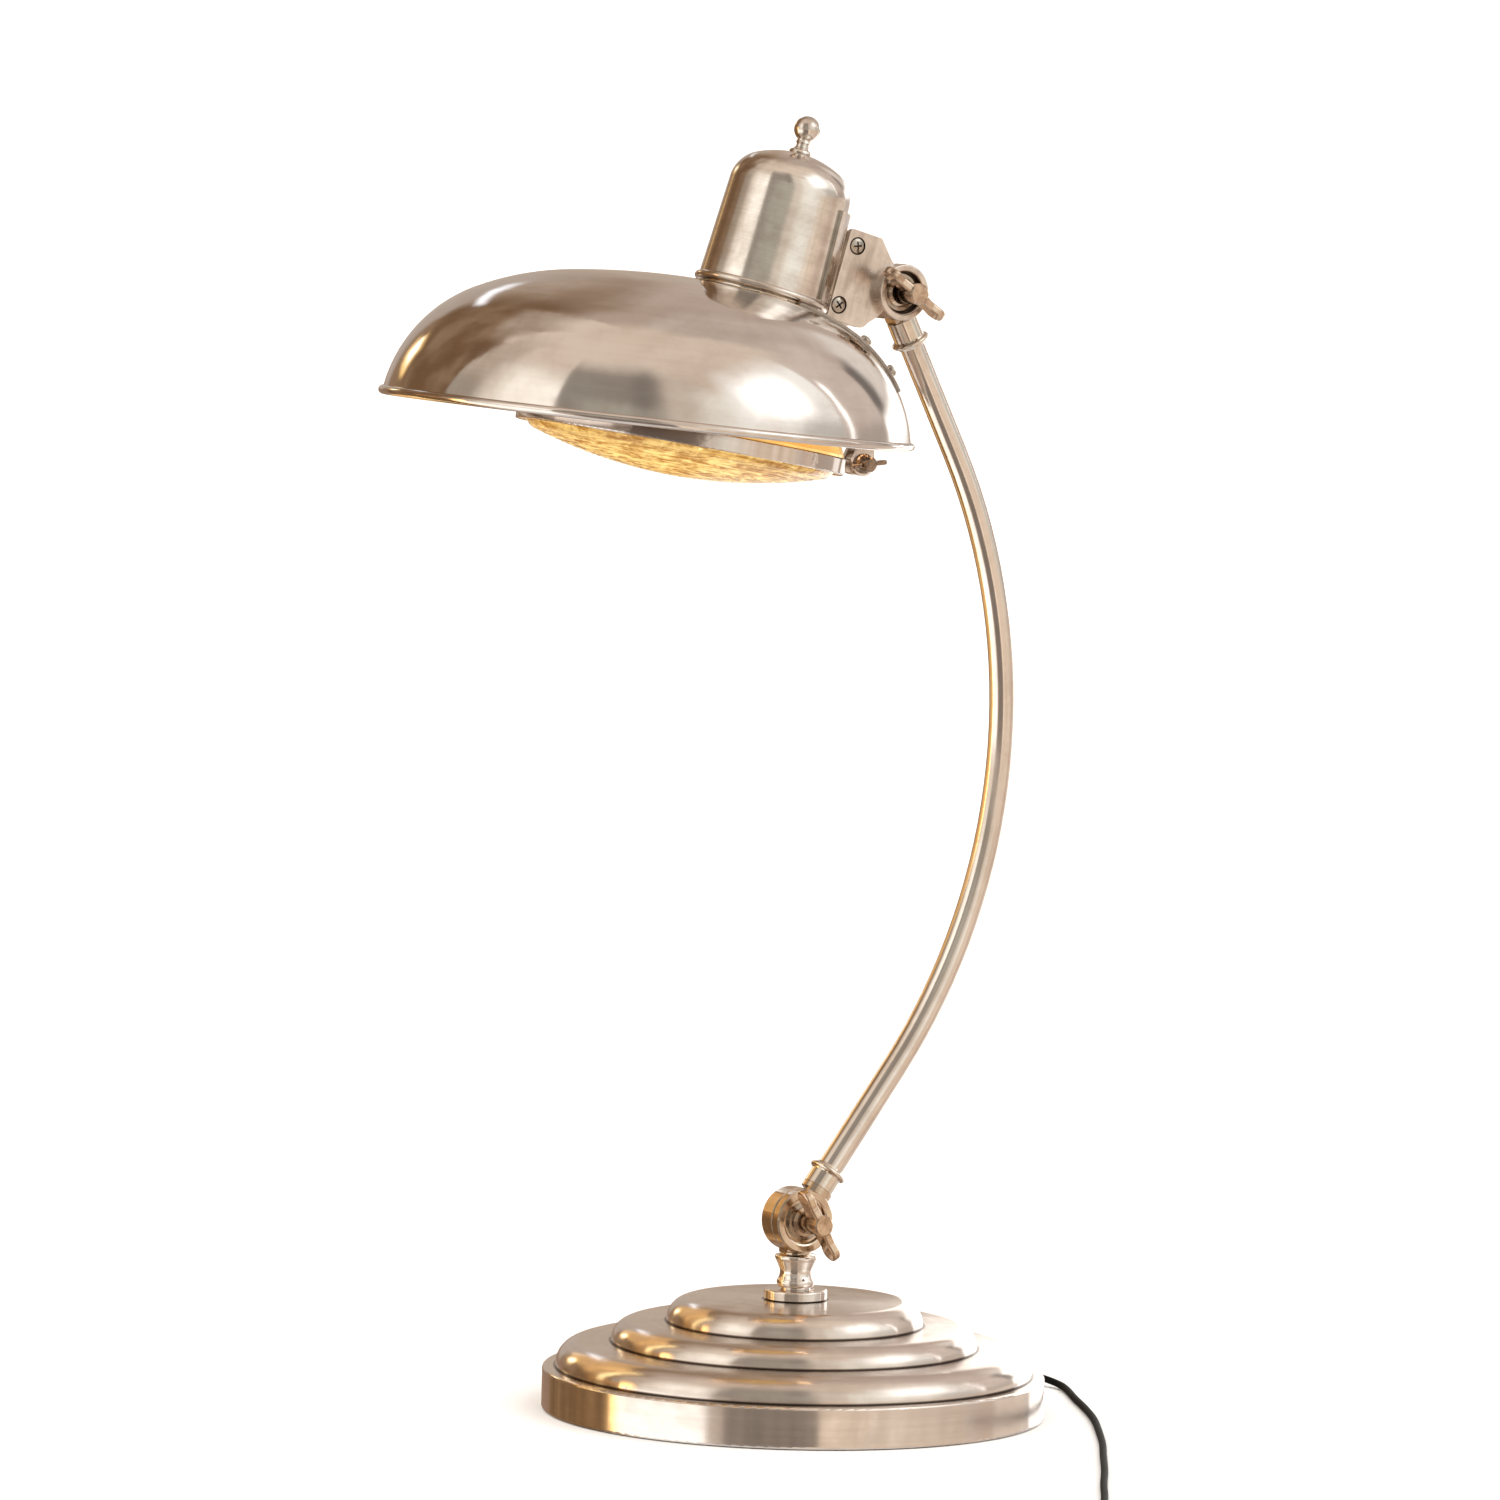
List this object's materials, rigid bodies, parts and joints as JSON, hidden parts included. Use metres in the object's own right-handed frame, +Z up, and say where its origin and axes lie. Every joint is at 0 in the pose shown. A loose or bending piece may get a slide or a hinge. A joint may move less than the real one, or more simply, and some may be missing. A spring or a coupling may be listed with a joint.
{
  "type": "tabletop searchlight lamp",
  "caption": "Table lamp with a domed metal shade and glass lens door on a bowed arm, tilting at wing-nut pivots above a round stepped base with a mains lead.",
  "frame": {"origin": "centre of the base's underside, on the surface the lamp stands on", "axes": "+Z up, the shade points to -Y, the pivot axes run along X with the wing nuts on +X"},
  "size_m": [0.5182, 0.4959, 0.6467],
  "materials": {
    "base_plate_metal": "polished nickel plate on spun brass, fine turning marks",
    "stem_metal": "polished nickel plate, turned",
    "joint_metal": "polished nickel plate, darker edges",
    "tube_metal": "polished nickel plate on tube",
    "ferrule_metal": "polished nickel plate, turned",
    "nut_metal": "nickel plate, slightly dulled",
    "screw_metal": "nickel plate, turned",
    "dark_metal": "dark oxidised",
    "bracket_metal": "polished nickel plate, flat filed",
    "cap_metal": "polished nickel plate with fine upright marks",
    "shade_metal": "polished nickel plate, spun",
    "ring_metal": "polished nickel plate",
    "amber_glass": "pressed amber glass",
    "seal": "matt black",
    "gilt": "polished brass",
    "hidden_steel": "plain steel",
    "holder_ceramic": "glazed ceramic look",
    "bulb_metal": "bright aluminium",
    "bulb_glass": "frosted glass",
    "cast_weight": "as cast",
    "felt": "felt",
    "cord_rubber": "satin black sheath",
    "black_plastic": "moulded, satin",
    "rocker_plastic": "moulded, satin"
  },
  "bodies": {
    "base": {"base_shell": "base_plate_metal", "base_weight": "cast_weight", "base_plate": "hidden_steel", "felt_pad": "felt", "plate_screws": "hidden_steel", "cord_grommet": "cord_rubber", "stem_collar": "stem_metal", "stem_neck": "stem_metal", "stem_rod": "hidden_steel", "stem_nut": "hidden_steel", "lower_knuckle": "joint_metal", "lower_friction_disc": "dark_metal", "lower_bolt": "screw_metal", "base_lead": "cord_rubber", "cord_run": "cord_rubber", "switch_case": "black_plastic", "cord_link": "cord_rubber", "cord_coil": "cord_rubber", "cord_tail": "cord_rubber", "plug_body": "black_plastic", "plug_pins": "gilt"},
    "rocker": {"switch_rocker": "rocker_plastic"},
    "lower_nut": {"lower_wing_nut": "nut_metal"},
    "arm": {"lower_arm_knuckle": "joint_metal", "lower_washer": "screw_metal", "lower_ferrule": "ferrule_metal", "arm_tube": "tube_metal", "arm_lead": "cord_rubber", "upper_ferrule": "ferrule_metal", "upper_eye": "joint_metal"},
    "upper_nut": {"upper_wing_nut": "nut_metal"},
    "lens_nut": {"lens_wing_nut": "dark_metal"},
    "lens": {"lens_ring": "ring_metal", "lens_glass": "amber_glass", "lens_gasket": "seal", "lens_collar": "gilt", "lens_lug": "bracket_metal"},
    "head": {"bracket_cheek_near": "bracket_metal", "bracket_cheek_far": "bracket_metal", "bracket_block": "bracket_metal", "bracket_screws": "screw_metal", "cap_saddle": "cap_metal", "upper_bolt": "screw_metal", "upper_washer": "screw_metal", "socket_cap": "cap_metal", "neck_ring": "cap_metal", "finial": "cap_metal", "holder_bar": "hidden_steel", "lamp_holder": "holder_ceramic", "holder_sleeve": "gilt", "bulb_cap": "bulb_metal", "bulb_glass": "bulb_glass", "shade": "shade_metal", "strap_right": "bracket_metal", "strap_left": "bracket_metal", "shade_rivets": "screw_metal", "lens_bracket": "bracket_metal", "lens_bolt": "dark_metal"}
  },
  "joints": [
    {"name": "lower_pivot", "type": "hinge", "parent": "base", "child": "arm", "pos_m": [0, 0, 0.097], "axis": [1, 0, 0], "range_deg": [-30, 25]},
    {"name": "upper_pivot", "type": "hinge", "parent": "arm", "child": "head", "pos_m": [0, 0.03963, 0.56015], "axis": [1, 0, 0], "range_deg": [-45, 20]},
    {"name": "lens_hinge", "type": "hinge", "parent": "head", "child": "lens", "pos_m": [0, 0.0234, 0.4748], "axis": [1, 0, 0], "range_deg": [0, 90]},
    {"name": "lower_nut_turn", "type": "hinge", "parent": "base", "child": "lower_nut", "pos_m": [0.018, 0, 0.097], "axis": [1, 0, 0], "continuous": true},
    {"name": "upper_nut_turn", "type": "hinge", "parent": "head", "child": "upper_nut", "pos_m": [0.02, 0.03963, 0.56015], "axis": [1, 0, 0], "continuous": true},
    {"name": "lens_nut_turn", "type": "hinge", "parent": "head", "child": "lens_nut", "pos_m": [0.01, 0.0234, 0.4748], "axis": [1, 0, 0], "continuous": true},
    {"name": "switch_rock", "type": "hinge", "parent": "base", "child": "rocker", "pos_m": [0.3661, -0.12788, 0.0106], "axis": [-0.866, 0.5, 0], "range_deg": [0, 14]}
  ]
}
